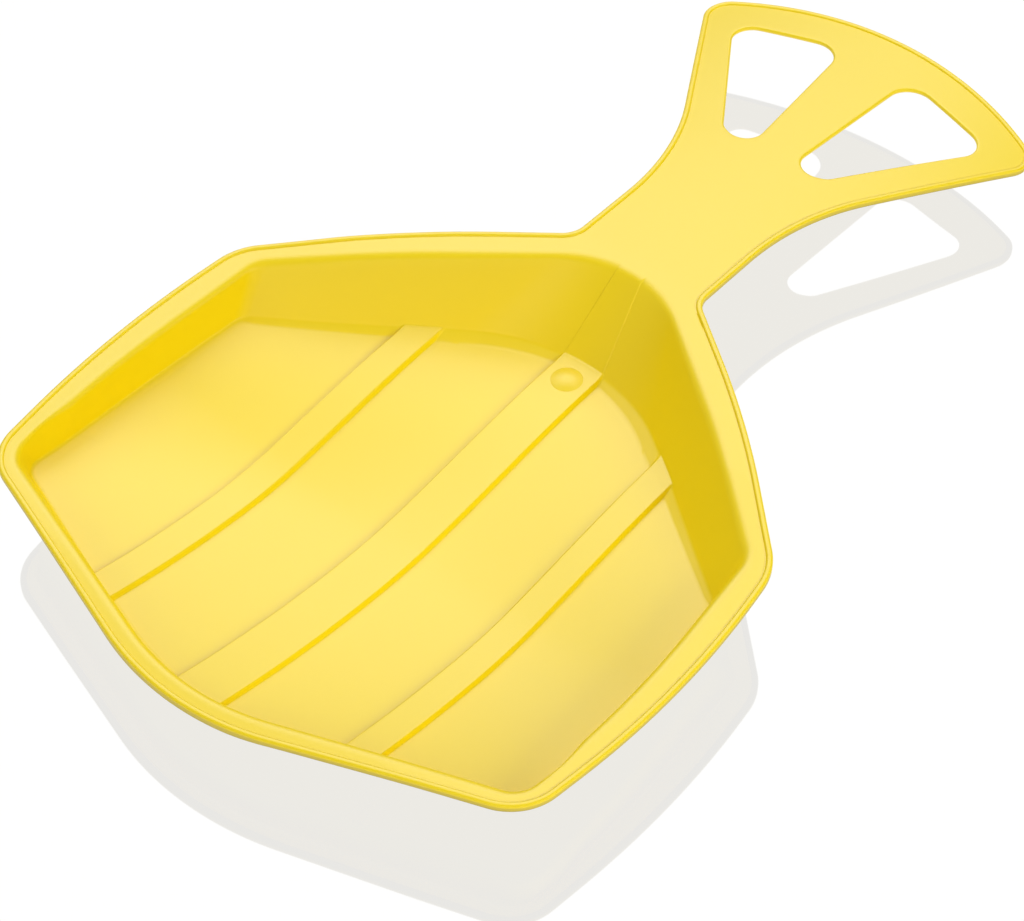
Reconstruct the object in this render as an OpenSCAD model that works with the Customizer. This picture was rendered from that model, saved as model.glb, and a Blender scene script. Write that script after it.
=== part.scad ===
// One-piece moulded snow slider: a six-sided seat pan on a rocker belly with a fan handle.
// X is across, Y runs from the rear edge of the pan to the handle, Z is up from the ground.

/* [Overall] */
// Length from the rear edge of the pan to the tip of the handle
total_len = 559; // [440:1:700]
// Width of the pan over its rim
pan_w = 330; // [270:1:400]
// Length of the pan from its rear edge to the inside corners of the neck
pan_len = 326; // [270:1:400]
// Height of the rim above the ground at the rear corners
rim_h = 44; // [36:0.5:55]
// Wall thickness of the moulding
wall_t = 2.6; // [1.8:0.1:4]

/* [Rim] */
// How much higher the rim stands at the neck than at the rear corners
rim_rise = 3.5; // [0:0.5:10]
// Dip of the rim in the middle of the rear edge
rear_dip = 6; // [0:0.5:12]
// Sag of the rim half way along each side
side_sag = 2.5; // [0:0.5:6]
// Width of the rolled edge
edge_w = 3.2; // [2:0.1:5]
// Height of the rolled edge above the flat of the rim
edge_rise = 0.9; // [0.4:0.1:2]
// Depth of the turned-down lip in the middle of the rear edge
rear_lip_h = 4.2; // [4:0.5:10]
// Depth of the turned-down lip along the rest of the edge
lip_h = 3.3; // [3.2:0.1:8]

/* [Floor] */
// Height that the floor gains from the middle to the rear edge
rear_lift = 23.5; // [16:0.5:28]
// Height that the floor gains from the middle to the front edge
front_lift = 7.5; // [4:0.1:12]
// Height that the floor gains from the middle to each side
side_lift = 14; // [8:0.5:20]
// Length of the level stretch of the underside, from the rear edge to its front end
belly_reach = 212; // [190:1:230]
// Height of the raised strips
strip_h = 2.5; // [1.5:0.1:4]
// Width of the middle strip
mid_strip_w = 25; // [18:0.5:34]
// Width of each side strip
side_strip_w = 16; // [10:0.5:24]
// Distance of the side strips' middles from the middle of the pan
side_strip_x = 74; // [60:0.5:90]
// Diameter of the dome over the moulding gate
gate_d = 16; // [8:0.5:18]

/* [Handle] */
// Width of the neck
neck_w = 76; // [60:1:100]
// Width of the fan across its tips, before rounding
fan_w = 210; // [160:1:240]
// Width of the grip bar at the outer end
grip_w = 25.5; // [20:0.5:34]
// Width of the web between the two finger openings
web_w = 24; // [18:0.5:34]
// Fall of the handle from the neck to its outer end
handle_fall = 9.5; // [0:0.5:14]
// Fall of the fan's tips below its middle
fan_arch = 8; // [0:0.5:14]

/* [Hidden] */

half_w = pan_w / 2;
mid_x = mid_strip_w / 2;
handle_len = total_len - pan_len;
yellow = [0.98, 0.88, 0.32];
pale = [0.99, 0.92, 0.45];
deep = [0.93, 0.78, 0.12];

// Corners of half an outline: share of the half width, share of the pan's length, radius
rim_corners = [[0, -0.027, 148], [0.953, 0.137, 28], [1.03, 0.422, 480],
    [0.975, 0.661, 33], [0.6, 0.856, 545]];
brim_corners = [[0, -0.001, 140], [0.92, 0.151, 16], [0.947, 0.399, 560],
    [0.911, 0.664, 20], [0.588, 0.812, 500]];
floor_corners = [[0, 0.0163, 140], [0.903, 0.179, 12], [0.915, 0.368, 480],
    [0.864, 0.605, 12], [0.43, 0.785, 400]];
brim_apex = [0, 1.049, 59];
floor_apex = [0, 0.95, 94];
neck_r = 13;
flare_r = 155;
fan_tip_r = 15;
grip_r = 193;
arc_n = 4;
run_n = 3;
apex_n = 5;

// Longitudinal rocker: flat in the middle of the pan, rising to both ends
flat_rear_y = 0.46 * pan_len;
flat_front_y = 0.44 * pan_len;
rear_edge_y = 0.04 * pan_len;
front_edge_y = 0.84 * pan_len;
nose_slant = 0.62;
nose_round = 0.18 * half_w;
side_edge_x = 0.903 * half_w;

// Lower band of the walls: a narrow chamfer at the sides and a broad one at the front
band_w = 1.4;
band_rise = 0.9;
front_band_w = 5.6;
front_band_rise = strip_h - band_rise;
wall_round = 4;
strip_flank = 1.1;

function unit(v) = v / norm(v);
function side_turn(v) = [v.y, -v.x];
function wrap(a) = a > 180 ? a - 360 : a < -180 ? a + 360 : a;
function clip(v, lo, hi) = min(hi, max(lo, v));
function mix(a, b, t) = a + (b - a) * t;
function flip(p) = [-p.x, p.y];
function scaled(v) = [v.x * half_w, v.y * pan_len, v.z * pan_w / 330];

// Points on the rounding of corner p between its neighbours a and b
function round_pts(a, p, b, r, n) =
    let (u = unit(a - p), w = unit(b - p), h = acos(u * w) / 2,
        c = p + unit(u + w) * r / sin(h), p1 = p + u * r / tan(h),
        p2 = p + w * r / tan(h), a1 = atan2(p1.y - c.y, p1.x - c.x),
        da = wrap(atan2(p2.y - c.y, p2.x - c.x) - a1))
    [for (k = [0:n]) c + r * [cos(a1 + da * k / n), sin(a1 + da * k / n)]];
function part_of(list, from, to) = [for (i = [from:to]) list[i]];
function xy(v) = [v.x, v.y];
function between(a, b, n) = [for (k = [1:n - 1]) mix(a, b, k / n)];

// Roundings along half an outline; tail is the point that follows the last corner
function roundings(v, tail) =
    let (m = len(v) - 1)
    [for (i = [0:m]) i == 0
        ? part_of(round_pts(flip(xy(v[1])), xy(v[0]), xy(v[1]), v[0].z, 2 * arc_n), arc_n, 2 * arc_n)
        : round_pts(xy(v[i - 1]), xy(v[i]), i == m ? tail : xy(v[i + 1]), v[i].z, arc_n)];
function joined(arcs, last) =
    [for (i = [0:len(arcs) - 1])
        each concat(arcs[i], between(arcs[i][arc_n], i < len(arcs) - 1 ? arcs[i + 1][0] : last, run_n))];

rim_v = [for (v = rim_corners) scaled(v)];
brim_v = [for (v = brim_corners) scaled(v)];
floor_v = [for (v = floor_corners) scaled(v)];
brim_tip = scaled(brim_apex);
floor_tip = scaled(floor_apex);
neck_corner = [neck_w / 2, pan_len];

// Handle outline above the neck
flare_y = pan_len + 0.355 * handle_len;
arc_mid_y = total_len - grip_r;
fan_tip = [fan_w / 2, arc_mid_y + sqrt(grip_r * grip_r - fan_w * fan_w / 4)];
tip_turn = atan2(fan_tip.x, fan_tip.y - arc_mid_y);
tip_tangent = fan_tip + 30 * [-cos(tip_turn), sin(tip_turn)];
tip_pts = round_pts([neck_w / 2, flare_y], fan_tip, tip_tangent, fan_tip_r, 6);
tip_end = tip_pts[6];
grip_turn = atan2(tip_end.x, tip_end.y - arc_mid_y);
grip_reach = norm(tip_end - [0, arc_mid_y]);
grip_n = 10;
grip_pts = [for (k = [1:grip_n])
    [0, arc_mid_y] + mix(grip_reach, grip_r, sin(90 * k / grip_n))
        * [sin(grip_turn * (1 - k / grip_n)), cos(grip_turn * (1 - k / grip_n))]];
neck_pts = round_pts(xy(rim_v[4]), neck_corner, [neck_w / 2, flare_y], neck_r, 4);
flare_pts = round_pts(neck_corner, [neck_w / 2, flare_y], fan_tip, flare_r, 6);

rim_arcs = roundings(rim_v, neck_corner);
rim_half = concat(joined(rim_arcs, neck_pts[0]), [neck_pts[0]]);
brim_last = round_pts(xy(brim_v[4]), xy(brim_tip), flip(xy(brim_v[4])), brim_tip.z, 2 * apex_n);
floor_last = round_pts(xy(floor_v[4]), xy(floor_tip), flip(xy(floor_v[4])), floor_tip.z, 2 * apex_n);
brim_half = concat(joined(roundings(brim_v, xy(brim_tip)), brim_last[0]), part_of(brim_last, 0, apex_n));
wall_half = concat(joined(roundings(floor_v, xy(floor_tip)), floor_last[0]), part_of(floor_last, 0, apex_n));
handle_half = concat(part_of(neck_pts, 1, 4), between(neck_pts[4], flare_pts[0], 3), flare_pts,
    between(flare_pts[6], tip_pts[0], 5), tip_pts, grip_pts);
edge_half = concat(rim_half, handle_half);
mid_y = (rim_half[0].y + total_len) / 2;

// Places where one region of the moulding hands over to the next
step_n = arc_n + run_n;
rear_end = step_n + 2;
side_end = 3 * step_n + 2;
rim_end = 5 * step_n;
apex_end = rim_end + apex_n;

// Heights of the rim's top and of the floor's top
function rim_z(p) =
    let (y = clip(p.y, -20, pan_len), u = (p.y - pan_len) / handle_len,
        s = (y - 0.43 * pan_len) / (0.34 * pan_len), e = p.x / (0.91 * half_w))
    rim_h + rim_rise * y / pan_len - side_sag * max(0, 1 - s * s)
        - rear_dip * max(0, 1 - e * e) * clip(1 - y / (0.19 * pan_len), 0, 1)
        - handle_fall * clip(u, 0, 1.1)
        - fan_arch * pow(p.x * 2 / fan_w, 2) * clip(2 * u, 0, 1);
function floor_z(p) =
    let (r = max(0, flat_rear_y - p.y) / (flat_rear_y - rear_edge_y),
        skew = nose_slant * (norm([p.x, nose_round]) - nose_round),
        f = clip((p.y + skew - flat_front_y) / (front_edge_y - flat_front_y), 0, 1))
    wall_t + rear_lift * pow(r, 1.75) + front_lift * eased(f)
        + side_lift * (p.x * p.x - mid_x * mid_x) / pow(side_edge_x, 2);
function eased(f) = f * f * (3 - 2 * f);

// Extra thickness under the belly that keeps the underside level as far as belly_reach
belly_turn = front_lift / pow(0.15 * pan_len, 2);
function belly(p) =
    let (f = clip((p.y - flat_front_y) / (front_edge_y - flat_front_y), 0, 1),
        free = front_lift * eased(f) - belly_turn * pow(max(0, p.y - belly_reach), 2))
    max(0, free) * max(0, 1 - pow(p.x / side_edge_x, 2));
function under_z(p) = floor_z(p) - wall_t - belly(p);
function up(p, z) = [p.x, p.y, z];

// Unit vector pointing into the pan at point i of a path
function inward(path, i) =
    let (a = path[max(0, i - 1)], b = path[min(len(path) - 1, i + 1)],
        t = i == 0 ? [1, 0] : i == len(path) - 1 && abs(path[i].x) < 0.01 ? [-1, 0] : unit(b - a))
    -side_turn(t);
function inset(path, d) = [for (i = [0:len(path) - 1]) path[i] + inward(path, i) * d];

// Share of the broad front band at point i of the wall's foot
function front_share(i) = let (s = clip((i - side_end) / (apex_end - side_end), 0, 1)) sin(150 * s);
foot_half = [for (i = [0:apex_end])
    wall_half[i] + inward(wall_half, i) * (band_w + front_band_w * front_share(i))];
function foot_z(i) = floor_z(foot_half[i]);
function crease_z(i) = foot_z(i) + band_rise + front_band_rise * front_share(i);

// Cross-section of a wall: foot, crease, and the rounding into the brim, with the underside
function wall_top(i) =
    let (a = wall_half[i], b = brim_half[i], d = norm(b - a), e = unit(b - a), zb = rim_z(b),
        f = min(wall_round, 0.45 * d), q = [d - f, zb], s = unit(q - [0, crease_z(i)]),
        k = q - s * min(f, 0.5 * norm(q - [0, crease_z(i)])), c = [d, zb])
    [up(foot_half[i], foot_z(i)), up(a, crease_z(i)), lift(a, e, k),
        lift(a, e, 0.25 * (k + 2 * q + c)), up(b, zb)];
function lift(a, e, q) = [a.x + e.x * q.x, a.y + e.y * q.x, q.y];
function wall_under(i) =
    let (a = wall_half[i], b = brim_half[i], d = norm(b - a), e = unit(b - a), zb = rim_z(b),
        f = min(wall_round, 0.45 * d), q = [d - f, zb], s = unit(q - [0, crease_z(i)]),
        k = q - s * min(f, 0.5 * norm(q - [0, crease_z(i)])), c = [d, zb],
        n = [s.y, -s.x], turn = atan2(s.y, s.x), m = unit(c - k), o = [m.y, -m.x])
    [up(foot_half[i], under_z(foot_half[i])),
        lift(a, e, [wall_t * tan(turn / 2), crease_z(i) - wall_t]),
        lift(a, e, k + n * wall_t), lift(a, e, 0.25 * (k + 2 * q + c) + o * wall_t), up(b, zb - wall_t)];

// Closed sheet between two equal grids of points
module sheet(top, under) {
    r = len(top);
    c = len(top[0]);
    m = r * c;
    polyhedron(
        points = concat([for (row = top) each row], [for (row = under) each row]),
        faces = concat(
            [for (i = [0:r - 2]) for (k = [0:c - 2]) for (t = [0:1])
                let (a = i * c + k) t == 0 ? [a, a + c, a + c + 1] : [a, a + c + 1, a + 1]],
            [for (i = [0:r - 2]) for (k = [0:c - 2]) for (t = [0:1])
                let (a = m + i * c + k) t == 0 ? [a, a + c + 1, a + c] : [a, a + 1, a + c + 1]],
            [for (i = [0:r - 2]) for (t = [0:1])
                let (a = i * c) t == 0 ? [a, a + m, a + m + c] : [a, a + m + c, a + c]],
            [for (i = [0:r - 2]) for (t = [0:1])
                let (a = i * c + c - 1) t == 0 ? [a, a + c + m, a + m] : [a, a + c, a + c + m]],
            [for (k = [0:c - 2]) [k, k + 1, k + 1 + m, k + m]],
            [for (k = [0:c - 2]) let (a = (r - 1) * c + k) [a, a + m, a + 1 + m, a + 1]]),
        convexity = 6);
}
module placed() {
    translate([0, -mid_y, 0])
        children();
}
module both_sides(right) {
    placed()
        mirror([right ? 0 : 1, 0, 0])
            children();
}

module wall(from, to) {
    sheet([for (i = [from:to]) wall_top(i)], [for (i = [from:to]) wall_under(i)]);
}

// Flat of the rim between the brim and the rolled edge
inner_edge = inset(edge_half, edge_w);
function flat_top(i) = [up(brim_half[i], rim_z(brim_half[i])), up(inner_edge[i], rim_z(inner_edge[i]))];
module rim_flat(from, to) {
    sheet([for (i = [from:to]) flat_top(i)], [for (i = [from:to]) [for (p = flat_top(i)) p - [0, 0, wall_t]]]);
}

// Rolled edge with its lip: two stacked strips of one section
function edge_top(a, b, z0, z1) =
    [up(a, z0), up(mix(a, b, 0.22), mix(z0, z1, 0.22) + edge_rise),
        up(mix(a, b, 0.72), mix(z0, z1, 0.72) + edge_rise), up(b, z1 + edge_rise * 0.2)];
function edge_under(a, b, z0, z1, drop) =
    [up(a, z0 - wall_t), up(mix(a, b, 0.22), mix(z0, z1, 0.22) - wall_t),
        up(mix(a, b, 0.36), mix(z0, z1, 0.36) - drop), up(b, z1 - drop)];
module rolled_edge(from, to) {
    a = inner_edge;
    b = edge_half;
    sheet([for (i = [from:to]) edge_top(a[i], b[i], rim_z(a[i]), rim_z(b[i]))],
        [for (i = [from:to]) edge_under(a[i], b[i], rim_z(a[i]), rim_z(b[i]),
            mix(rear_lip_h, lip_h, clip((i - arc_n) / arc_n, 0, 1)))]);
}

// Floor: panels and strips follow columns that run from the rear foot to the front foot
rear_n = rear_end;
rear_line = [for (i = [0:rear_n]) [foot_half[i].x, foot_half[i].y]];
front_line = [for (i = [apex_end:-1:side_end + 1]) [foot_half[i].x, foot_half[i].y]];
crease_line = [for (i = [apex_end:-1:side_end + 1]) [wall_half[i].x, wall_half[i].y]];
crease_rise = [for (i = [apex_end:-1:side_end + 1]) [wall_half[i].x, crease_z(i)]];
rear_crease_line = [for (i = [0:rear_n]) [wall_half[i].x, wall_half[i].y]];
rear_crease_rise = [for (i = [0:rear_n]) [wall_half[i].x, crease_z(i)]];
function rear_y(x) = lookup(abs(x), rear_line);
function front_y(x) = lookup(abs(x), front_line);
function crease_y(x) = lookup(abs(x), crease_line);
function rear_crease_y(x) = lookup(abs(x), rear_crease_line);
row_n = 22;
function column(x, rise) =
    [for (j = [0:row_n]) on_floor(x, mix(rear_y(x), front_y(x), j / row_n), rise)];
function under_column(x) = beneath([column(x, 0)])[0];
function beneath(grid) = [for (row = grid) [for (p = row) up(p, under_z(p))]];
function sunk(grid) = [for (row = grid) [for (p = row) p - [0, 0, wall_t]]];
module panel(x0, x1, n) {
    grid = [for (k = [n:-1:0]) column(mix(x0, x1, k / n), 0)];
    sheet(grid, beneath(grid));
}
module strip(x0, x1) {
    f = strip_flank;
    t = wall_t;
    top = [column(x1, 0), column(x1 - f, strip_h), column(x1 - f - t / 2, strip_h),
        column(mix(x0, x1, 0.5), strip_h), column(x0 + f + t / 2, strip_h), column(x0 + f, strip_h),
        column(x0, 0)];
    under = [under_column(x1), under_column(x1 - t), column(x1 - f - t, strip_h - t),
        column(mix(x0, x1, 0.5), strip_h - t), column(x0 + f + t, strip_h - t), under_column(x0 + t),
        under_column(x0)];
    sheet(top, under);
    toes([x1 - f, x1 - f - t / 2, mix(x0, x1, 0.5), x0 + f + t / 2, x0 + f]);
}
// Ends of a strip, which root in it, lie on the band and meet the wall
toe_root = 1.2;
toe_edge = 0.6;
toe_shy = 0.05;
module toes(xs) {
    sheet([for (x = xs) toe_top(x, front_y(x), -toe_root, crease_y(x))],
        [for (x = xs) toe_under(x, front_y(x), -toe_root, crease_y(x), lookup(abs(x), crease_rise))]);
    sheet([for (x = xs) turned(toe_top(x, rear_y(x), toe_root, rear_crease_y(x)))],
        [for (x = xs) turned(toe_under(x, rear_y(x), toe_root, rear_crease_y(x), lookup(abs(x), rear_crease_rise)))]);
}
function turned(v) = [v[2], v[1], v[0]];
function toe_top(x, y, root, y1) =
    [on_floor(x, y + root, strip_h - toe_shy), on_floor(x, y, strip_h), [x, y1, floor_z([x, y]) + strip_h + toe_edge]];
function toe_under(x, y, root, y1, z1) = [on_floor(x, y + root, strip_h / 3), on_floor(x, y, 0), [x, y1, z1]];
function on_floor(x, y, rise) = [x, y, floor_z([x, y]) + rise];

side_in = side_strip_x - side_strip_w / 2;
side_out = side_strip_x + side_strip_w / 2;
gate_y = front_y(0) - 0.04 * pan_len;

module floor_middle_strip() {
    color(yellow)
        placed()
            strip(-mid_x, mid_x);
}
module floor_strip(right) {
    color(yellow) both_sides(right) strip(side_in, side_out);
}
module floor_panel_inner(right) {
    color(pale) both_sides(right) panel(mid_x, side_in, 5);
}
// Outer panel: ruled from the side strip's outer edge to the foot of the side wall
outer_from = [for (i = [1:apex_end]) if (foot_half[i].x > side_out && foot_half[i - 1].x <= side_out) i][0];
outer_to = [for (i = [1:apex_end]) if (foot_half[i].x > side_out && foot_half[i + 1].x <= side_out) i][0];
outer_rim = concat([[side_out, rear_y(side_out)]], part_of(foot_half, outer_from, outer_to),
    [[side_out, front_y(side_out)]]);
module floor_panel_outer(right) {
    m = len(outer_rim) - 1;
    y0 = rear_y(side_out);
    y1 = front_y(side_out);
    cols = 5;
    grid = [for (j = [1:m - 1])
        [for (k = [0:cols])
            let (s = [side_out, mix(y0, y1, (j - 1) / (m - 2))], q = mix(s, outer_rim[j], k / cols))
            up(q, floor_z(q))]];
    color(pale) both_sides(right) sheet(grid, beneath(grid));
}
module gate_dome() {
    z = floor_z([0, gate_y]) + strip_h;
    rise = gate_d * 0.13;
    r = (gate_d * gate_d / 4 + rise * rise) / (2 * rise);
    color(yellow)
        translate([0, gate_y - mid_y, z - 0.1])
            intersection() {
                translate([0, 0, rise - r])
                    sphere(r = r, $fn = 96);
                cylinder(d = gate_d, h = rise * 2, $fn = 48);
            }
}
module front_wall(right) {
    color(deep) both_sides(right) wall(side_end, apex_end);
}
module side_wall(right) {
    color(deep) both_sides(right) wall(rear_end, side_end);
}
module rear_wall(right) {
    color(deep) both_sides(right) wall(0, rear_end);
}
module rim_front(right) {
    color(pale) both_sides(right) rim_flat(side_end, rim_end);
}
module rim_side(right) {
    color(pale) both_sides(right) rim_flat(rear_end, side_end);
}
module rim_rear(right) {
    color(pale) both_sides(right) rim_flat(0, rear_end);
}
module edge_front(right) {
    color(yellow) both_sides(right) rolled_edge(side_end, rim_end);
}
module edge_side(right) {
    color(yellow) both_sides(right) rolled_edge(rear_end, side_end);
}
module edge_rear(right) {
    color(yellow) both_sides(right) rolled_edge(0, rear_end);
}
module edge_handle(right) {
    color(yellow) both_sides(right) rolled_edge(rim_end, len(edge_half) - 1);
}

// Handle plate: an arched slab cut to the outline of each region
slab_x = fan_w / 2 + 10;
slab_y0 = pan_len - 26;
slab_nx = 16;
slab_ny = 18;
module arched_slab() {
    grid = [for (i = [0:slab_nx])
        [for (j = [0:slab_ny])
            let (q = [mix(slab_x, -slab_x, i / slab_nx), mix(slab_y0, total_len + 10, j / slab_ny)])
            [q.x, q.y, rim_z(q)]]];
    sheet(grid, sunk(grid));
}
opening_in = web_w / 2;
opening_y0 = pan_len + 0.462 * handle_len;
opening_y1 = total_len - grip_w;
opening_pts = [[opening_in, opening_y0], [opening_in + 8.5, opening_y1 + 2.5],
    [fan_w * 0.386, opening_y1 - 14], [opening_in + 20, opening_y0 + 8.5]];
opening_r = [10, 13, 11, 10];
module opening() {
    polygon([for (i = [0:3])
        each round_pts(opening_pts[(i + 3) % 4], opening_pts[i], opening_pts[(i + 1) % 4], opening_r[i], 6)]);
}
module plate_outline() {
    brim = [for (i = [0:apex_n]) brim_half[rim_end + i]];
    right = part_of(inner_edge, rim_end, len(inner_edge) - 1);
    left = [for (i = [len(right) - 2:-1:0]) flip(right[i])];
    brim_left = [for (i = [apex_n - 1:-1:0]) flip(brim[i])];
    difference() {
        polygon(concat(right, left, [for (i = [0:apex_n]) flip(brim[i])], [for (i = [apex_n - 1:-1:0]) brim[i]]));
        opening();
        mirror([1, 0])
            opening();
    }
}
module plate_part() {
    intersection() {
        arched_slab();
        translate([0, 0, 1])
            linear_extrude(height = rim_h + 40)
                intersection() {
                    plate_outline();
                    children();
                }
    }
}
web_y0 = opening_y0 + 12;
web_y1 = opening_y1 - 12;
big = total_len;
module handle_neck() {
    color(pale)
        placed()
            plate_part()
                translate([-big / 2, 0])
                    square([big, web_y0]);
}
module handle_web() {
    color(pale)
        placed()
            plate_part()
                polygon([[-opening_in - 4, web_y0], [opening_in + 4, web_y0],
                    [opening_in + 16, web_y1], [-opening_in - 16, web_y1]]);
}
module handle_arm(right) {
    color(pale)
        both_sides(right)
            plate_part()
                polygon([[opening_in + 12, web_y0], [big, web_y0], [big, web_y1 - 10], [opening_in + 12, web_y1 - 10]]);
}
module grip_bar(right) {
    color(pale)
        both_sides(right)
            plate_part()
                difference() {
                    translate([0, web_y1 - 10])
                        square([big, big]);
                    polygon([[-1, web_y1 - 20], [opening_in + 16, web_y1 - 20], [opening_in + 16, web_y1], [-1, web_y1]]);
                }
}

floor_middle_strip();
floor_strip(false);  // floor_strip_left
floor_strip(true);  // floor_strip_right
floor_panel_inner(false);  // floor_panel_inner_left
floor_panel_inner(true);  // floor_panel_inner_right
floor_panel_outer(false);  // floor_panel_outer_left
floor_panel_outer(true);  // floor_panel_outer_right
gate_dome();
front_wall(false);  // front_wall_left
front_wall(true);  // front_wall_right
side_wall(false);  // side_wall_left
side_wall(true);  // side_wall_right
rear_wall(false);  // rear_wall_left
rear_wall(true);  // rear_wall_right
rim_front(false);  // rim_front_left
rim_front(true);  // rim_front_right
rim_side(false);  // rim_side_left
rim_side(true);  // rim_side_right
rim_rear(false);  // rim_rear_left
rim_rear(true);  // rim_rear_right
edge_front(false);  // edge_front_left
edge_front(true);  // edge_front_right
edge_side(false);  // edge_side_left
edge_side(true);  // edge_side_right
edge_rear(false);  // edge_rear_left
edge_rear(true);  // edge_rear_right
handle_neck();
handle_web();
handle_arm(false);  // handle_arm_left
handle_arm(true);  // handle_arm_right
grip_bar(false);  // grip_bar_left
grip_bar(true);  // grip_bar_right
edge_handle(false);  // edge_handle_left
edge_handle(true);  // edge_handle_right
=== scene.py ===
"""Studio scene of a one-piece moulded snow slider: a seat pan with a rolled edge and a fan handle."""

import logging
import math
from dataclasses import dataclass, field
from enum import IntEnum

import bpy
import numpy as np
from mathutils import Matrix, Vector, geometry


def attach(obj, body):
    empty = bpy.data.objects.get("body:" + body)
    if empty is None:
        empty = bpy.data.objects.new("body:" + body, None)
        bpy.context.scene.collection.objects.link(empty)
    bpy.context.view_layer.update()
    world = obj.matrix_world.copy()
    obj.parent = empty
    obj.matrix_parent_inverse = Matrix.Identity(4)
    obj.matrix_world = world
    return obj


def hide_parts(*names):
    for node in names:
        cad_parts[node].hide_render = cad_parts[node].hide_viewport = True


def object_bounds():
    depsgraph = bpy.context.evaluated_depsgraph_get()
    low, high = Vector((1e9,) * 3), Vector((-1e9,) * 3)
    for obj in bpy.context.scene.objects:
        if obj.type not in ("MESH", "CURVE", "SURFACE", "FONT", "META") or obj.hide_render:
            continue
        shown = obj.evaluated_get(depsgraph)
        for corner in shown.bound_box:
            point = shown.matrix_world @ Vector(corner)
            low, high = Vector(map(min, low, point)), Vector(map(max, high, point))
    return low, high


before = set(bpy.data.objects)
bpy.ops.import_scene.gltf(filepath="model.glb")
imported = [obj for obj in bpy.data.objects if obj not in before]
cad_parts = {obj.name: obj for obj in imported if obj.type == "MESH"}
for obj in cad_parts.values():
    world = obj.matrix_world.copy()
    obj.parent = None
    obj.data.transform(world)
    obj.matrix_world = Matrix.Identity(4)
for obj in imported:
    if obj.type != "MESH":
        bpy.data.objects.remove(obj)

logging.basicConfig(level=logging.INFO, format="%(message)s")
LOG = logging.getLogger("slider")

Array = np.ndarray
CAD_LOW, CAD_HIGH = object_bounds()
WHITE = (1.0, 1.0, 1.0, 1.0)
# One millimetre in metres. The slider's own sizes are kept in millimetres.
MM = 0.001
# How far the rounded side stands out past half the pan's width.
SIDE_BULGE = 1.05
# Size of the cells in which points that fall together become one, in millimetres.
WELD_CELL = 0.002
# Points closer than this to the middle plane are put on it, in millimetres.
MIDDLE_GAP = 1e-4
# Closest distance that the plate's triangulation tells apart.
PLATE_TOLERANCE = 1e-6


class Mark(IntEnum):
    """The numbers that travel with each point of the skin, by their place in a row."""

    RELIEF = 0
    PLATE = 1
    DROP = 2


def smooth(value: Array | float) -> Array | float:
    """Eased 0 to 1 ramp of a value that is clipped to 0 to 1."""
    v = np.clip(value, 0.0, 1.0)
    return v * v * (3.0 - 2.0 * v)


def unit(v: Array) -> Array:
    """The vector at length one."""
    return v / np.linalg.norm(v)


def arc(a: Array, p: Array, b: Array, radius: float, steps: int) -> Array:
    """Points on the rounding of a corner.

    Args:
        a: Neighbour before the corner.
        p: The corner.
        b: Neighbour after the corner.
        radius: Radius of the rounding.
        steps: Number of steps along it.

    Returns:
        steps + 1 points in the plane.
    """
    u, w = unit(a - p), unit(b - p)
    half = math.acos(float(np.clip(u @ w, -1.0, 1.0))) / 2.0
    centre = p + unit(u + w) * radius / math.sin(half)
    first, last = p + u * radius / math.tan(half), p + w * radius / math.tan(half)
    start = math.atan2(first[1] - centre[1], first[0] - centre[0])
    turn = math.atan2(last[1] - centre[1], last[0] - centre[0]) - start
    turn = (turn + math.pi) % (2.0 * math.pi) - math.pi
    angles = start + turn * np.linspace(0.0, 1.0, steps + 1)
    return centre + radius * np.column_stack([np.cos(angles), np.sin(angles)])


def flip(p: Array) -> Array:
    """The point's mirror image across the middle plane."""
    return p * np.array([-1.0, 1.0])


def between(a: Array, b: Array, steps: int) -> Array:
    """Points strictly between two others, evenly spaced."""
    t = np.linspace(0.0, 1.0, steps + 1)[1:-1, None]
    return a + (b - a) * t


def carry(mesh: bpy.types.Mesh, name: str, values: Array) -> None:
    """Stores a number with each point of a mesh."""
    layer = mesh.attributes.new(name, "FLOAT", "POINT")
    layer.data.foreach_set("value", values.astype(np.float32))


def placed(name: str, data: bpy.types.ID) -> bpy.types.Object:
    """Adds an object to the scene.

    Args:
        name: Name of the object.
        data: Its mesh, lamp or camera.

    Returns:
        The object.
    """
    obj = bpy.data.objects.new(name, data)
    bpy.context.scene.collection.objects.link(obj)
    return obj


@dataclass(frozen=True)
class SliderSizes:
    """Sizes of the slider in millimetres; lengths count from the rear edge of the pan."""

    half_w: float = (CAD_HIGH[0] - CAD_LOW[0]) / 2.0 / MM - SIDE_BULGE
    total_len: float = 559.0
    pan_len: float = 326.0
    rim_h: float = 44.0
    wall_t: float = 2.6
    rim_rise: float = 3.5
    rear_dip: float = 6.0
    side_sag: float = 2.5
    edge_w: float = 3.2
    edge_rise: float = 0.9
    lip_h: float = 3.3
    rear_lip_h: float = 4.2
    rear_lift: float = 23.5
    front_lift: float = 7.5
    side_lift: float = 14.0
    belly_reach: float = 212.0
    strip_h: float = 2.5
    mid_strip_w: float = 25.0
    side_strip_w: float = 16.0
    side_strip_x: float = 74.0
    gate_d: float = 16.0
    neck_w: float = 76.0
    fan_w: float = 210.0
    grip_w: float = 25.5
    web_w: float = 24.0
    handle_fall: float = 9.5
    fan_arch: float = 8.0
    grip_r: float = 193.0

    @property
    def handle_len(self) -> float:
        """Length of the handle beyond the neck's corners."""
        return self.total_len - self.pan_len

    @property
    def strip_edges(self) -> list[float]:
        """Edges of the raised strips on one side of the middle."""
        half = self.side_strip_w / 2.0
        return [self.mid_strip_w / 2.0, self.side_strip_x - half, self.side_strip_x + half]


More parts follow.
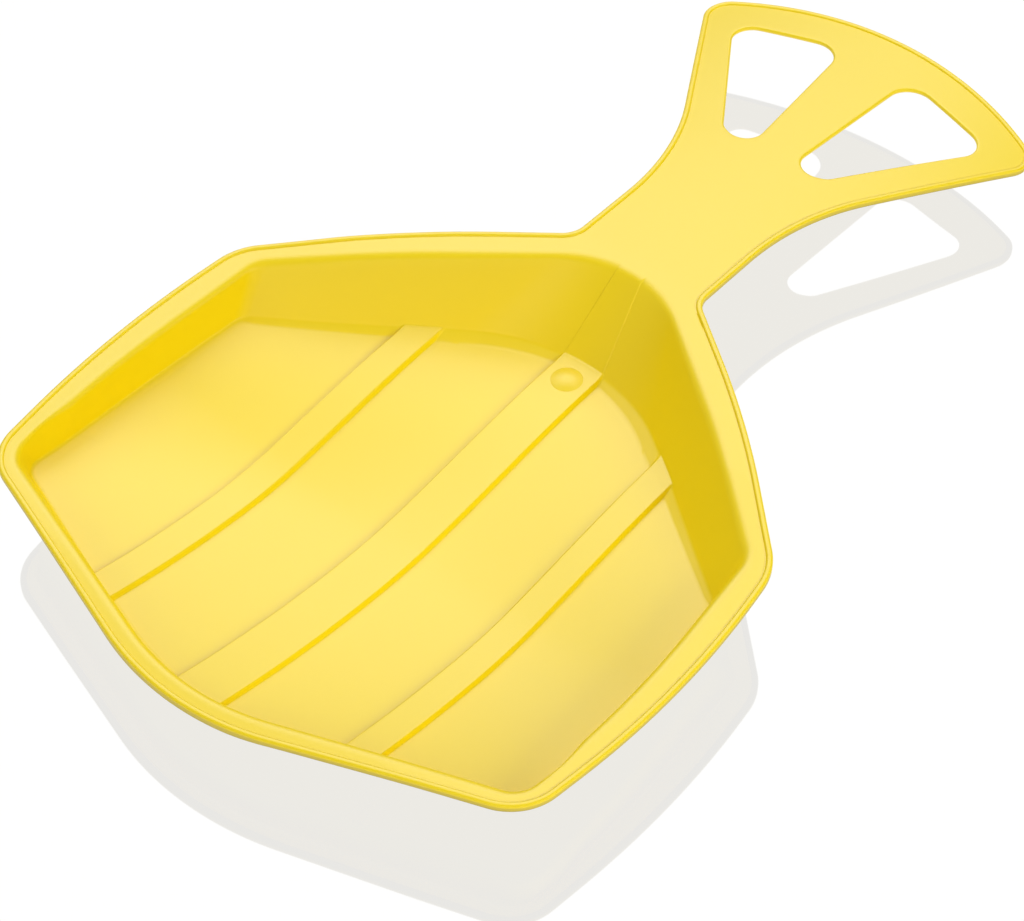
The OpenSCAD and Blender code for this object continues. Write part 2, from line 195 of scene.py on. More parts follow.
@dataclass
class Plan:
    """Curves of the slider seen from above, one half, all matched point by point.

    A corner is its distance from the middle as a share of half the pan's width, its distance from the
    rear edge as a share of the pan's length, and the radius of its rounding in millimetres.
    """

    sizes: SliderSizes
    arc_n: int = 16
    run_n: int = 12
    apex_n: int = 20
    neck_n: int = 12
    waist_n: int = 8
    flare_n: int = 24
    flank_n: int = 16
    tip_n: int = 16
    grip_n: int = 40
    rim_corners: tuple = (
        (0.0, -0.027, 148.0),
        (0.953, 0.137, 28.0),
        (1.03, 0.422, 480.0),
        (0.975, 0.661, 33.0),
        (0.6, 0.856, 545.0),
    )
    brim_corners: tuple = (
        (0.0, -0.001, 140.0),
        (0.92, 0.151, 16.0),
        (0.947, 0.399, 560.0),
        (0.911, 0.664, 20.0),
        (0.588, 0.812, 500.0),
    )
    wall_corners: tuple = (
        (0.0, 0.0163, 140.0),
        (0.903, 0.179, 12.0),
        (0.915, 0.368, 480.0),
        (0.864, 0.605, 12.0),
        (0.43, 0.785, 400.0),
    )
    brim_apex: tuple = (0.0, 1.049, 59.0)
    wall_apex: tuple = (0.0, 0.95, 94.0)
    neck_r: float = 13.0
    flare_r: float = 155.0
    flare_place: float = 0.355
    fan_tip_r: float = 15.0
    tip_reach: float = 30.0
    band_w: float = 1.4
    front_band_w: float = 5.6
    front_turn: float = 150.0
    straight_x: float = 88.0
    straight_fade: float = 30.0
    closed_gap: float = 0.01

    def __post_init__(self) -> None:
        """Builds every curve once."""
        s = self.sizes
        neck = np.array([s.neck_w / 2.0, s.pan_len])
        flare = np.array([s.neck_w / 2.0, s.pan_len + self.flare_place * s.handle_len])
        centre = np.array([0.0, s.total_len - s.grip_r])
        tip = np.array([s.fan_w / 2.0, centre[1] + math.sqrt(s.grip_r**2 - s.fan_w**2 / 4.0)])
        turn = math.atan2(tip[0], tip[1] - centre[1])
        tangent = tip + self.tip_reach * np.array([-math.cos(turn), math.sin(turn)])
        corners = [self._scaled(c) for c in self.rim_corners]
        neck_arc = arc(corners[-1][:2], neck, flare, self.neck_r, self.neck_n)
        flare_arc = arc(neck, flare, tip, self.flare_r, self.flare_n)
        tip_arc = arc(flare, tip, tangent, self.fan_tip_r, self.tip_n)
        self.rim = np.vstack([self._runs(corners, neck, neck_arc[0]), neck_arc[:1]])
        handle = np.vstack(
            [neck_arc[1:], between(neck_arc[-1], flare_arc[0], self.waist_n), flare_arc,
             between(flare_arc[-1], tip_arc[0], self.flank_n), tip_arc, self._grip(tip_arc[-1], centre)]
        )
        self.edge = np.vstack([self.rim, handle])
        self.brim = self._inner(self.brim_corners, self.brim_apex)
        self.wall = self._inner(self.wall_corners, self.wall_apex)
        step = self.arc_n + self.run_n
        self.side_end = 3 * step + self.arc_n // 2
        self.rim_end = 5 * step
        self.apex_end = self.rim_end + self.apex_n
        index = np.arange(self.apex_end + 1)
        along = np.clip((index - self.side_end) / (self.apex_end - self.side_end), 0.0, 1.0)
        self.front_share = np.sin(np.radians(self.front_turn * along))
        width = self.band_w + self.front_band_w * self.front_share
        self.foot_normal = self.wall + self.inward(self.wall) * width[:, None]
        self.foot = self._straight_foot()
        self.mid_y = (self.rim[0, 1] + s.total_len) / 2.0

    def _scaled(self, corner: tuple) -> Array:
        """A corner given as shares of the pan, in millimetres."""
        return np.array([corner[0] * self.sizes.half_w, corner[1] * self.sizes.pan_len, corner[2]])

    def _runs(self, corners: list, tail: Array, last: Array) -> Array:
        """Roundings of a half outline, joined by straight runs.

        Args:
            corners: Corners with their radii.
            tail: Corner after the last one.
            last: Point at which the outline ends.

        Returns:
            Points of the half outline.
        """
        arcs = []
        for i, c in enumerate(corners):
            before = flip(corners[1][:2]) if i == 0 else corners[i - 1][:2]
            after = tail if i == len(corners) - 1 else corners[i + 1][:2]
            if i == 0:
                arcs.append(arc(before, c[:2], after, c[2], 2 * self.arc_n)[self.arc_n:])
            else:
                arcs.append(arc(before, c[:2], after, c[2], self.arc_n))
        out = []
        for i, points in enumerate(arcs):
            target = arcs[i + 1][0] if i < len(arcs) - 1 else last
            out += [points, between(points[-1], target, self.run_n)]
        return np.vstack(out)

    def _inner(self, shares: tuple, apex: tuple) -> Array:
        """An inner half curve that closes over the middle with a rounded apex.

        Args:
            shares: Corners as shares of the pan.
            apex: Corner in the middle.

        Returns:
            Points of the half curve.
        """
        corners = [self._scaled(c) for c in shares]
        top = self._scaled(apex)
        last = corners[-1][:2]
        nose = arc(last, top[:2], flip(last), top[2], 2 * self.apex_n)[: self.apex_n + 1]
        nose[-1, 0] = 0.0
        return np.vstack([self._runs(corners, top[:2], nose[0]), nose])

    def _grip(self, start: Array, centre: Array) -> Array:
        """Outer end of the fan, from its rounded tip to the middle.

        Args:
            start: End of the tip's rounding.
            centre: Centre of the fan's end.

        Returns:
            Points after start.
        """
        turn = math.atan2(start[0], start[1] - centre[1])
        reach = float(np.linalg.norm(start - centre))
        t = np.linspace(0.0, 1.0, self.grip_n + 1)[1:]
        radius = reach + (self.sizes.grip_r - reach) * np.sin(t * math.pi / 2.0)
        angle = turn * (1.0 - t)
        return centre + radius[:, None] * np.column_stack([np.sin(angle), np.cos(angle)])

    @staticmethod
    def inward(path: Array) -> Array:
        """Unit vectors that point into the slider along a half curve.

        Args:
            path: Points of the half curve.

        Returns:
            One unit vector for each point.
        """
        tangent = np.gradient(path, axis=0)
        tangent[0] = (1.0, 0.0)
        if abs(path[-1, 0]) < Plan.closed_gap:
            tangent[-1] = (-1.0, 0.0)
        tangent /= np.linalg.norm(tangent, axis=1)[:, None]
        return np.column_stack([-tangent[:, 1], tangent[:, 0]])

    def _straight_foot(self) -> Array:
        """Foot of the walls; in front it lies straight behind the crease, so that strips run on over it.

        Returns:
            Points of the foot, matched to the wall's.
        """
        foot = self.foot_normal.copy()
        x, y = foot[self.apex_end:self.side_end:-1].T
        index = np.arange(self.side_end + 1, self.apex_end + 1)
        share = 1.0 - smooth((self.wall[index, 0] - self.straight_x) / self.straight_fade)
        straight = np.column_stack([self.wall[index, 0], np.interp(self.wall[index, 0], x, y)])
        foot[index] += (straight - foot[index]) * share[:, None]
        return foot

    def at(self, curve: Array, u: Array) -> Array:
        """Points of a curve at fractional indices."""
        index = np.arange(len(curve))
        return np.column_stack([np.interp(u, index, curve[:, k]) for k in range(curve.shape[1])])


@dataclass
class Heights:
    """Height of each surface above the ground, in millimetres.

    Places and lengths are shares of the pan's length or of half its width. The limit behind the pan is in
    millimetres, and the limit of the handle's fall is a share of the handle's length.
    """

    sizes: SliderSizes
    sag_place: float = 0.43
    sag_reach: float = 0.34
    dip_half_w: float = 0.91
    dip_len: float = 0.19
    rear_limit: float = -20.0
    fall_limit: float = 1.1
    rear_start: float = 0.46
    rear_len: float = 0.42
    rear_power: float = 1.75
    front_start: float = 0.44
    front_len: float = 0.4
    front_skew: float = 0.62
    nose_round: float = 0.18
    floor_half_w: float = 0.903
    belly_turn: float = 0.15

    def rim(self, p: Array) -> Array:
        """Top of the flat rim and of the handle plate.

        Args:
            p: Places seen from above, one to a row.

        Returns:
            Height at each place.
        """
        s = self.sizes
        x, y = p[:, 0], p[:, 1]
        along = np.clip(y, self.rear_limit, s.pan_len)
        u = (y - s.pan_len) / s.handle_len
        side = (along - self.sag_place * s.pan_len) / (self.sag_reach * s.pan_len)
        across = x / (self.dip_half_w * s.half_w)
        near_rear = np.clip(1.0 - along / (self.dip_len * s.pan_len), 0.0, 1.0)
        return (
            s.rim_h + s.rim_rise * along / s.pan_len
            - s.side_sag * np.maximum(0.0, 1.0 - side**2)
            - s.rear_dip * np.maximum(0.0, 1.0 - across**2) * near_rear
            - s.handle_fall * np.clip(u, 0.0, self.fall_limit)
            - s.fan_arch * (x * 2.0 / s.fan_w) ** 2 * np.clip(2.0 * u, 0.0, 1.0)
        )

    def floor(self, p: Array) -> Array:
        """Top of the floor between the strips.

        Args:
            p: Places seen from above, one to a row.

        Returns:
            Height at each place.
        """
        s = self.sizes
        x, y = p[:, 0], p[:, 1]
        rear = np.maximum(0.0, self.rear_start * s.pan_len - y) / (self.rear_len * s.pan_len)
        nose = self.nose_round * s.half_w
        skew = self.front_skew * (np.hypot(x, nose) - nose)
        front = (y + skew - self.front_start * s.pan_len) / (self.front_len * s.pan_len)
        side = (x**2 - (s.mid_strip_w / 2.0) ** 2) / (self.floor_half_w * s.half_w) ** 2
        return (
            s.wall_t + s.rear_lift * rear**self.rear_power
            + s.front_lift * smooth(front) + s.side_lift * side
        )

    def belly(self, p: Array) -> Array:
        """Extra thickness under the floor that keeps the underside level.

        Args:
            p: Places seen from above, one to a row.

        Returns:
            Thickness at each place.
        """
        s = self.sizes
        front = smooth((p[:, 1] - self.front_start * s.pan_len) / (self.front_len * s.pan_len))
        turn = s.front_lift / (self.belly_turn * s.pan_len) ** 2
        free = s.front_lift * front - turn * np.maximum(0.0, p[:, 1] - s.belly_reach) ** 2
        across = p[:, 0] / (self.floor_half_w * s.half_w)
        return np.maximum(0.0, free) * np.maximum(0.0, 1.0 - across**2)


@dataclass
class MeshDraft:
    """Points and faces of one surface, with numbers that travel with each point."""

    points: list = field(default_factory=list)
    marks: list = field(default_factory=list)
    faces: list = field(default_factory=list)

    def add(self, points: Array, marks: Array) -> Array:
        """Adds points and returns their indices.

        Args:
            points: New points.
            marks: Numbers that travel with them.

        Returns:
            Their indices.
        """
        first = len(self.points)
        self.points.extend(points.tolist())
        self.marks.extend(marks.tolist())
        return np.arange(first, len(self.points))

    def grid(self, rows: Array, marks: Array, turned: bool = False) -> None:
        """Adds a grid of quads.

        Args:
            rows: Points as rows x columns x 3.
            marks: Numbers per point as rows x columns x count.
            turned: True where the grid's natural face direction points down.
        """
        r, c = rows.shape[:2]
        index = self.add(rows.reshape(-1, 3), marks.reshape(r * c, -1)).reshape(r, c)
        for i in range(r - 1):
            for k in range(c - 1):
                quad = [index[i, k], index[i, k + 1], index[i + 1, k + 1], index[i + 1, k]]
                self.faces.append([int(q) for q in (quad[::-1] if turned else quad)])

    def welded(self) -> tuple[Array, Array, list]:
        """Points, marks and faces with the points that coincide made one, and both halves present.

        Returns:
            The points, their marks and the faces.
        """
        points = np.array(self.points)
        marks = np.array(self.marks)
        points[np.abs(points[:, 0]) < MIDDLE_GAP, 0] = 0.0
        both = np.vstack([points, points * np.array([-1.0, 1.0, 1.0])])
        count = len(points)
        faces = self.faces + [[q + count for q in f[::-1]] for f in self.faces]
        first, inverse = np.arange(len(both)), np.arange(len(both))
        for shift in (0.0, 0.5, 0.25):
            cells = np.floor(both[first] / WELD_CELL + shift).astype(np.int64)
            _, kept, where = np.unique(cells, axis=0, return_index=True, return_inverse=True)
            inverse = where.reshape(-1)[inverse]
            first = first[kept]
        out = []
        for f in faces:
            g = [int(inverse[q]) for q in f]
            g = [q for k, q in enumerate(g) if q != g[k - 1]]
            if len(g) >= 3:
                out.append(g)
        return both[first], np.vstack([marks, marks])[first], out


def point_normals(points: Array, faces: list) -> Array:
    """Area-weighted unit normals of a surface's points.

    Args:
        points: Points of the surface.
        faces: Its triangles and quads.

    Returns:
        One unit normal for each point.
    """
    normals = np.zeros_like(points)
    for size in (3, 4):
        group = np.array([f for f in faces if len(f) == size])
        if not len(group):
            continue
        corner = points[group]
        face = np.cross(corner[:, 2] - corner[:, 0], corner[:, size - 1] - corner[:, 1])
        if size == 3:
            face = np.cross(corner[:, 1] - corner[:, 0], corner[:, 2] - corner[:, 0])
        for k in range(size):
            np.add.at(normals, group[:, k], face)
    length = np.linalg.norm(normals, axis=1)
    return normals / np.maximum(length, 1e-12)[:, None]


@dataclass
class Shell:
    """The moulded wall: floor, walls, flat rim and handle plate as one closed skin."""

    sizes: SliderSizes
    plan: Plan
    heights: Heights
    rows: int = 120
    flank_offsets: tuple = (-2.4, -1.5, -1.0, -0.7, -0.45, -0.2, 0.05, 0.3, 0.6, 1.0, 1.6)
    column_gap: float = 4.0
    wall_round: float = 4.0
    edge_round: float = 1.1
    outer_rows: int = 18
    even_share: float = 0.4
    crease_rise: float = 0.9
    foot_steps: tuple = (0.0, 0.25, 0.5, 0.75)
    crease_n: int = 6
    wall_steps: tuple = (0.015, 0.035, 0.07, 0.2, 0.4, 0.6, 0.8)
    brim_n: int = 9
    rim_n: int = 5
    opening_r: tuple = (10.0, 13.0, 11.0, 10.0)
    opening_place: float = 0.462
    opening_lean: float = 8.5
    opening_top: float = 2.5
    opening_w: float = 0.386
    opening_fall: float = 14.0
    opening_foot: float = 20.0
    opening_foot_rise: float = 8.5
    opening_arc_n: int = 12
    opening_run_n: int = 14
    ring_gaps: tuple = (0.0, 0.12, 0.35, 0.7, 1.1, 2.2)
    axis_n: int = 44
    plate_gap: float = 6.0
    plate_clear: float = 0.45
    panel_relief: float = 0.35
    panel_front: float = 0.6
    panel_fade: float = 10.0
    level_start: float = 0.8
    level_fade: float = 0.15

    def build(self) -> bpy.types.Object:
        """Builds the skin's mesh with its relief weights.

        Returns:
            The slider's skin as an object.
        """
        draft = MeshDraft()
        columns = self._columns()
        samples = self._samples(columns)
        self._floor(draft, columns, samples)
        cap, nose = self._walls(draft, samples)
        self._plate(draft, cap, nose)
        points, marks, faces = draft.welded()
        return self._thicken(points, marks, faces)

    def _columns(self) -> Array:
        """Distances from the middle at which lines run along the floor.

        Returns:
            Distances in rising order, closest together on the strips' flanks.
        """
        edges = self.sizes.strip_edges
        fixed = sorted({0.0} | {e + o for e in edges for o in self.flank_offsets})
        fixed = [x for x in fixed if x <= edges[-1] + self.flank_offsets[-1]]
        out = [fixed[0]]
        for x in fixed[1:]:
            n = max(1, round((x - out[-1]) / self.column_gap))
            out.extend(np.linspace(out[-1], x, n + 1)[1:].tolist())
        return np.array(out)

    def _samples(self, columns: Array) -> dict[str, Array]:
        """Positions along the matched curves where sections are cut.

        Args:
            columns: Distances of the floor's lines from the middle.

        Returns:
            Positions at the rear, the side and the front.
        """
        plan = self.plan
        index = np.arange(plan.apex_end + 1)
        rear_top = plan.arc_n + plan.run_n
        front_low = plan.side_end + 4
        rear = np.interp(columns, plan.foot[: rear_top + 1, 0], index[: rear_top + 1])
        front_part = index[front_low:][::-1]
        front = np.interp(columns, plan.foot[front_part, 0], front_part)
        length = np.r_[0.0, np.cumsum(np.linalg.norm(np.diff(plan.foot, axis=0), axis=1))]
        first, last = rear[-1], front[-1]
        even = np.linspace(0.0, 1.0, 2001)
        u = first + (last - first) * even
        start, end = np.interp(first, index, length), np.interp(last, index, length)
        by_length = 1.0 - self.even_share
        mixed = by_length * (np.interp(u, index, length) - start) / (end - start) + self.even_share * even
        side = np.interp(np.linspace(0.0, 1.0, self.rows + 1), mixed, u)
        side[0], side[-1] = first, last
        return {"rear": rear, "side": side, "front": front[::-1]}

    def _marks(self, shape: tuple, relief: Array | float) -> Array:
        """Numbers that travel with points: relief weight, plate flag and edge drop.

        Args:
            shape: Rows and columns of the points.
            relief: Relief weights.

        Returns:
            The marks, with the other two at zero.
        """
        marks = np.zeros((*shape, len(Mark)))
        marks[..., Mark.RELIEF] = relief
        return marks

    def _floor(self, draft: MeshDraft, columns: Array, samples: dict[str, Array]) -> None:
        """Floor inside the foot of the walls.

        Args:
            draft: Surface that the faces are added to.
            columns: Distances of the floor's lines from the middle.
            samples: Positions along the foot.
        """
        plan = self.plan
        rear = plan.at(plan.foot, samples["rear"])
        front = plan.at(plan.foot, samples["front"][::-1])
        t = np.linspace(0.0, 1.0, self.rows + 1)
        xs = rear[:, 0, None] + (front[:, 0] - rear[:, 0])[:, None] * t
        ys = rear[:, 1, None] + (front[:, 1] - rear[:, 1])[:, None] * t
        inner = self._raised(xs, ys)
        draft.grid(inner, self._marks(inner.shape[:2], 1.0), turned=True)
        side = plan.at(plan.foot, samples["side"])
        share = np.linspace(0.0, 1.0, self.outer_rows + 1)
        xs = inner[-1, :, 0, None] + (side[:, 0] - inner[-1, :, 0])[:, None] * share
        ys = inner[-1, :, 1, None] + (side[:, 1] - inner[-1, :, 1])[:, None] * share
        outer = self._raised(xs, ys)
        draft.grid(outer, self._marks(outer.shape[:2], 1.0), turned=False)

    def _raised(self, xs: Array, ys: Array) -> Array:
        """Grid of floor points at given places."""
        flat = np.column_stack([xs.ravel(), ys.ravel()])
        return np.column_stack([flat, self.heights.floor(flat)]).reshape(*xs.shape, 3)

    @property
    def brim_inward(self) -> Array:
        """Unit vectors into the pan along the brim."""
        return self.plan.inward(self.plan.brim)

    def _section(self, u: Array) -> tuple[Array, Array]:
        """Sections of the wall from its foot to the brim.

        Args:
            u: Positions along the matched curves.

        Returns:
            Points as sections x rows x 3, and the relief weights.
        """
        plan, s = self.plan, self.sizes
        foot, crease, brim = (plan.at(c, u) for c in (plan.foot, plan.wall, plan.brim))
        share = np.interp(u, np.arange(len(plan.front_share)), plan.front_share)
        z_foot = self.heights.floor(foot)
        z_crease = z_foot + self.crease_rise + (s.strip_h - self.crease_rise) * share
        z_brim = self.heights.rim(brim)
        low = np.column_stack([foot, z_foot])
        mid = np.column_stack([crease, z_crease])
        high = np.column_stack([brim, z_brim])
        # Each rounding stays shorter than the runs that it joins.
        run = np.linalg.norm(brim - crease, axis=1)
        cut = np.minimum(self.wall_round, 0.45 * run)
        bend_xy = brim + plan.at(self.brim_inward, u) * cut[:, None]
        bend = np.column_stack([bend_xy, z_brim])
        rise = np.linalg.norm(bend - mid, axis=1)
        top_start = bend - (bend - mid) * (np.minimum(cut, 0.5 * rise) / rise)[:, None]
        size = np.minimum(1.0, 0.25 * rise)
        band = np.linalg.norm(mid - low, axis=1)
        near = mid + (low - mid) * (np.minimum(size, 0.4 * band) / band)[:, None]
        far = mid + (top_start - mid) * (size / np.linalg.norm(top_start - mid, axis=1))[:, None]
        rows = [low + (near - low) * t for t in self.foot_steps]
        rows += [self._curve(near, mid, far, t) for t in np.linspace(0.0, 1.0, self.crease_n)]
        rows += [far + (top_start - far) * t for t in self.wall_steps]
        rows += [self._curve(top_start, bend, high, t) for t in np.linspace(0.0, 1.0, self.brim_n)]
        grid = np.stack(rows, axis=1)
        reach = np.linalg.norm(grid[..., :2] - foot[:, None], axis=2) / np.maximum(band[:, None], 0.1)
        strip_top = (z_foot + s.strip_h)[:, None] + 0.5 * np.minimum(reach, 1.0)
        relief = np.maximum(0.0, strip_top - grid[..., 2]) / s.strip_h
        relief[:, 0] = 1.0
        return self._wall_panel(grid, crease), relief

    def _wall_panel(self, grid: Array, crease: Array) -> Array:
        """Raises the faint band up the middle of the front wall.

        Args:
            grid: Sections of the wall.
            crease: The crease seen from above.

        Returns:
            The sections with the band raised.
        """
        # The band fades out at its sides, above the crease and below the brim.
        s = self.sizes
        inside = smooth((s.mid_strip_w / 2.0 - 0.7 - np.abs(crease[:, 0])) / 0.6 + 0.5)
        front = smooth((crease[:, 1] - self.panel_front * s.pan_len) / self.panel_fade)
        t = np.linspace(0.0, 1.0, grid.shape[1])
        along = smooth(t / 0.35) * smooth((1.0 - t) / 0.2)
        push = self.panel_relief * (inside * front)[:, None] * along
        out = grid.copy()
        out[..., 1] -= 0.7 * push
        out[..., 2] += 0.7 * push
        return out

    @staticmethod
    def _curve(a: Array, p: Array, b: Array, t: float) -> Array:
        """Point on the rounding between two lines that meet in p."""
        return (1 - t) ** 2 * a + 2 * t * (1 - t) * p + t**2 * b

    def _walls(self, draft: MeshDraft, samples: dict[str, Array]) -> tuple[Array, Array]:
        """Walls all round, and the flat rim outside them.

        Args:
            draft: Surface that the faces are added to.
            samples: Positions along the curves.

        Returns:
            Last row of the flat rim, and the brim from there to the middle.
        """
        plan = self.plan
        u = np.unique(np.round(np.concatenate([*samples.values(), [plan.rim_end]]), 9))
        grid, relief = self._section(u)
        draft.grid(grid, self._marks(grid.shape[:2], relief))
        part = u[u <= plan.rim_end + 1e-9]
        inner = grid[: len(part), -1]
        outer = self._rim_border(part)
        t = np.linspace(0.0, 1.0, self.rim_n)
        flat = inner[:, None, :2] + (outer - inner[:, :2])[:, None] * t[None, :, None]
        z = self.heights.rim(flat.reshape(-1, 2)).reshape(flat.shape[:2])
        rim = np.dstack([flat, z])
        marks = self._marks(rim.shape[:2], 0.0)
        marks[..., Mark.PLATE] = 1.0
        draft.grid(rim, marks)
        return rim[-1], grid[len(part) - 1:, -1]

    def _rim_border(self, u: Array) -> Array:
        """Border of the skin, hidden inside the rolled edge.

        Args:
            u: Positions along the edge.

        Returns:
            Points seen from above.
        """
        half = self.sizes.edge_w / 2.0
        border = self.plan.edge + self.plan.inward(self.plan.edge) * half
        return self.plan.at(border, u)

    def opening(self, grow: float = 0.0) -> Array:
        """Outline of the finger opening on the right.

        Args:
            grow: How far the outline is moved out into the plate.

        Returns:
            Points of the closed outline.
        """
        s = self.sizes
        inner = s.web_w / 2.0
        foot, top = s.pan_len + self.opening_place * s.handle_len, s.total_len - s.grip_w
        corners = [
            np.array([inner, foot]),
            np.array([inner + self.opening_lean, top + self.opening_top]),
            np.array([s.fan_w * self.opening_w, top - self.opening_fall]),
            np.array([inner + self.opening_foot, foot + self.opening_foot_rise]),
        ]
        count = len(corners)
        arcs = [
            arc(corners[i - 1], corners[i], corners[(i + 1) % count], self.opening_r[i], self.opening_arc_n)
            for i in range(count)
        ]
        path = []
        for i in range(count):
            path += [arcs[i], between(arcs[i][-1], arcs[(i + 1) % count][0], self.opening_run_n)]
        loop = np.vstack(path)
        tangent = np.roll(loop, -1, axis=0) - np.roll(loop, 1, axis=0)
        tangent /= np.linalg.norm(tangent, axis=1)[:, None]
        return loop + grow * np.column_stack([-tangent[:, 1], tangent[:, 0]])

    def _edge_drop(self, gap: float) -> float:
        """How deep the rounded edge of an opening lies at a distance from it."""
        inset = self.edge_round - min(gap, self.edge_round)
        return self.edge_round - math.sqrt(max(0.0, self.edge_round**2 - inset**2))

    def _plate(self, draft: MeshDraft, cap: Array, nose: Array) -> None:
        """Handle plate from the brim's nose to the grip, with its opening.

        Args:
            draft: Surface that the faces are added to.
            cap: Last row of the flat rim, from the brim to the border.
            nose: The brim from the end of the flat rim to the middle.
        """
        plan = self.plan
        outer = self._rim_border(np.arange(plan.rim_end, len(plan.edge)).astype(float))
        outer[-1, 0] = 0.0
        axis = between(outer[-1], np.array([0.0, nose[-1, 1]]), self.axis_n)
        border = np.vstack([cap[:-1, :2], outer, axis, nose[::-1][:-1, :2]])
        rings = [self.opening(gap) for gap in self.ring_gaps]
        place, sources, faces = self._triangles([border, *rings], self._filling(border, rings[-1]))
        drop = np.zeros(len(place))
        for k, source in enumerate(sources):
            for q in source:
                ring = (q - len(border)) // len(rings[0])
                if 0 <= ring < len(rings):
                    drop[k] = max(drop[k], self._edge_drop(self.ring_gaps[ring]))
        marks = self._marks((len(place),), 0.0)
        marks[:, Mark.PLATE] = 1.0
        marks[:, Mark.DROP] = drop
        index = draft.add(np.column_stack([place, self.heights.rim(place)]), marks)
        draft.faces.extend([[int(index[q]) for q in f] for f in faces])

    def _filling(self, border: Array, hole: Array) -> Array:
        """Points spread evenly over the plate.

        Args:
            border: Closed outline of the plate.
            hole: Outermost ring round the opening.

        Returns:
            Points that keep clear of both outlines.
        """
        low, high = border.min(0), border.max(0)
        half = self.plate_gap / 2.0
        xs = np.arange(low[0] + half, high[0], self.plate_gap)
        ys = np.arange(low[1] + half, high[1], self.plate_gap)
        grid = np.array([(x + (j % 2) * half, y) for j, y in enumerate(ys) for x in xs])
        keep = self._inside(grid, border) & ~self._inside(grid, hole)
        keep &= self._clear(grid, np.vstack([border, hole]), self.plate_gap * self.plate_clear)
        return grid[keep]

    def _triangles(self, loops: list, filling: Array) -> tuple[Array, list, Array]:
        """Triangles that fill the plate round its opening.

        Args:
            loops: Closed outlines: the border, the opening, and the rings round the opening.
            filling: Points between them.

        Returns:
            Places of the points, the given points that each one stands for, and the faces.
        """
        edges, count = [], 0
        for loop in loops:
            n = len(loop)
            edges += [(count + k, count + (k + 1) % n) for k in range(n)]
            count += n
        flat = np.vstack([*loops, filling])
        found = geometry.delaunay_2d_cdt([Vector(p) for p in flat], edges, [], 0, PLATE_TOLERANCE)
        place = np.array([list(v) for v in found[0]])
        for k, source in enumerate(found[3]):
            if source:
                place[k] = flat[source[0]]
        faces = np.array([f for f in found[2] if len(f) == 3])
        middle = place[faces].mean(axis=1)
        faces = faces[self._inside(middle, loops[0]) & ~self._inside(middle, loops[1])]
        corner = place[faces]
        turn = np.cross(corner[:, 1] - corner[:, 0], corner[:, 2] - corner[:, 0])
        return place, found[3], np.where((turn < 0)[:, None], faces[:, ::-1], faces)

    @staticmethod
    def _inside(points: Array, loop: Array) -> Array:
        """True for the points inside a closed loop.

        Args:
            points: Points to test.
            loop: Closed outline.

        Returns:
            One truth value for each point.
        """
        inside = np.zeros(len(points), bool)
        for a, b in zip(loop, np.roll(loop, -1, axis=0)):
            crosses = (a[1] > points[:, 1]) != (b[1] > points[:, 1])
            if a[1] != b[1]:
                x = a[0] + (points[:, 1] - a[1]) * (b[0] - a[0]) / (b[1] - a[1])
                inside ^= crosses & (points[:, 0] < x)
        return inside

    @staticmethod
    def _clear(points: Array, others: Array, gap: float) -> Array:
        """True for the points farther than gap from all the others."""
        return np.array([np.min(np.sum((others - p) ** 2, axis=1)) > gap**2 for p in points])

    def _thicken(self, points: Array, marks: Array, faces: list) -> bpy.types.Object:
        """Adds the underside and the cut edges, and makes the mesh object.

        Args:
            points: Points of the top.
            marks: Numbers that travel with them.
            faces: Faces of the top.

        Returns:
            The slider's skin as an object.
        """
        normals = point_normals(points, faces)
        plate = marks[:, Mark.PLATE] == 1.0
        normals[plate] = (0.0, 0.0, 1.0)
        under = points - normals * self.sizes.wall_t
        relief = marks[:, Mark.RELIEF].copy()
        relief[plate] = 0.0
        level = smooth((normals[:, 2] - self.level_start) / self.level_fade)
        deep = self.heights.belly(points[:, :2]) * level
        deep[plate] = 0.0
        under[:, 2] = np.maximum(under[:, 2] - deep, 0.0)
        top = points.copy()
        top[:, 2] -= marks[:, Mark.DROP]
        under[:, 2] += marks[:, Mark.DROP]
        every = np.vstack([top, under])
        every[:, 1] -= self.plan.mid_y
        count = len(points)
        skin, sharp = self._closed(faces, count)
        mesh = bpy.data.meshes.new("slider_skin")
        mesh.from_pydata((every * MM).tolist(), [], skin)
        carry(mesh, "relief", np.r_[relief, np.where(relief > 0.99, 1.0, 0.0)])
        carry(mesh, "under", np.r_[np.zeros(count), np.ones(count)])
        mesh.validate()
        hard = [tuple(sorted(e.vertices)) in sharp for e in mesh.edges]
        mesh.attributes.new("sharp_edge", "BOOLEAN", "EDGE").data.foreach_set("value", hard)
        return placed("slider_shell", mesh)

    @staticmethod
    def _closed(faces: list, count: int) -> tuple[list, set]:
        """Joins the top and the underside along the open edges.

        Args:
            faces: Faces of the top.
            count: Number of points in the top; those of the underside follow in the same order.

        Returns:
            All the faces, and the pairs of points along the cut edges.
        """
        skin = faces + [[q + count for q in f[::-1]] for f in faces]
        edges = dict.fromkeys((a, b) for f in faces for a, b in zip(f, f[1:] + f[:1]))
        sharp = set()
        for a, b in edges:
            if (b, a) not in edges:
                skin.append([b, a, a + count, b + count])
                sharp |= {tuple(sorted((a, b))), tuple(sorted((a + count, b + count)))}
        return skin, sharp


